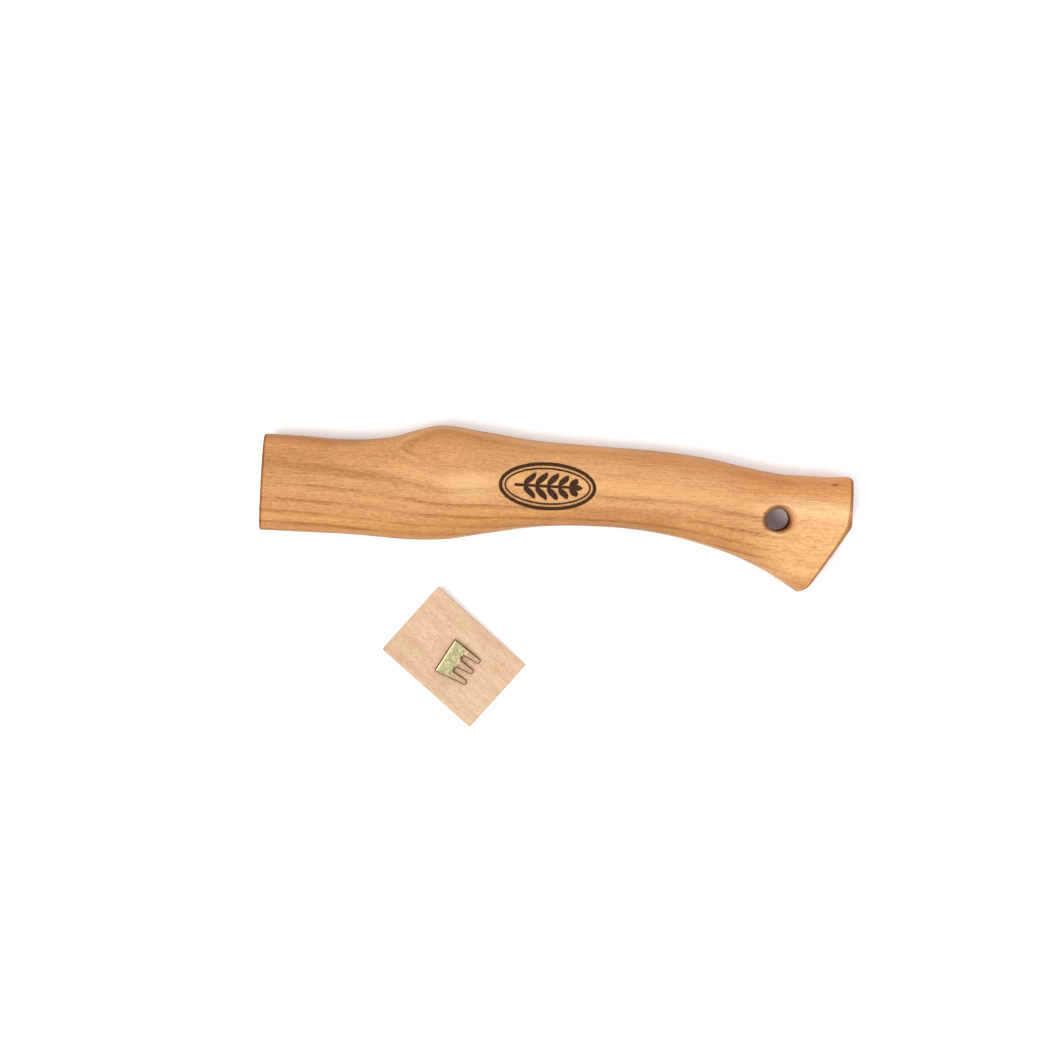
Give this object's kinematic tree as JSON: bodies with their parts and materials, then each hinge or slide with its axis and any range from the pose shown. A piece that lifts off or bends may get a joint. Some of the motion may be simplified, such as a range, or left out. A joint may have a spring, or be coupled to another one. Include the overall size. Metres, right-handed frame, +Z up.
{
  "type": "hatchet handle kit",
  "caption": "Replacement handle kit for a small carving hatchet: curved wooden handle with hang hole, wooden kerf wedge and three-legged metal wedge, laid out flat.",
  "frame": {"origin": "on the surface the kit lies on, under the middle of the kit's box", "axes": "+X from the handle's eye end to its knob, along the eye's axis; +Y to the handle's back, the side of the head's poll; +Z up from the surface"},
  "size_m": [0.25, 0.1277, 0.024],
  "materials": {
    "hickory": "oiled, burnt-in mark on the grip",
    "beech": "planed, untreated",
    "brass_plate": "satin"
  },
  "bodies": {
    "handle": {"handle": "hickory"},
    "wooden_wedge": {"wooden_wedge": "beech"},
    "nail": {"three_leg_nail": "brass_plate"}
  },
  "joints": [
    {"name": "wedge_lift", "type": "slide", "parent": "handle", "child": "wooden_wedge", "axis": [0, 0, 1], "range_m": [0, 0.06]},
    {"name": "nail_lift", "type": "slide", "parent": "wooden_wedge", "child": "nail", "axis": [0, 0, 1], "range_m": [0, 0.04]}
  ]
}
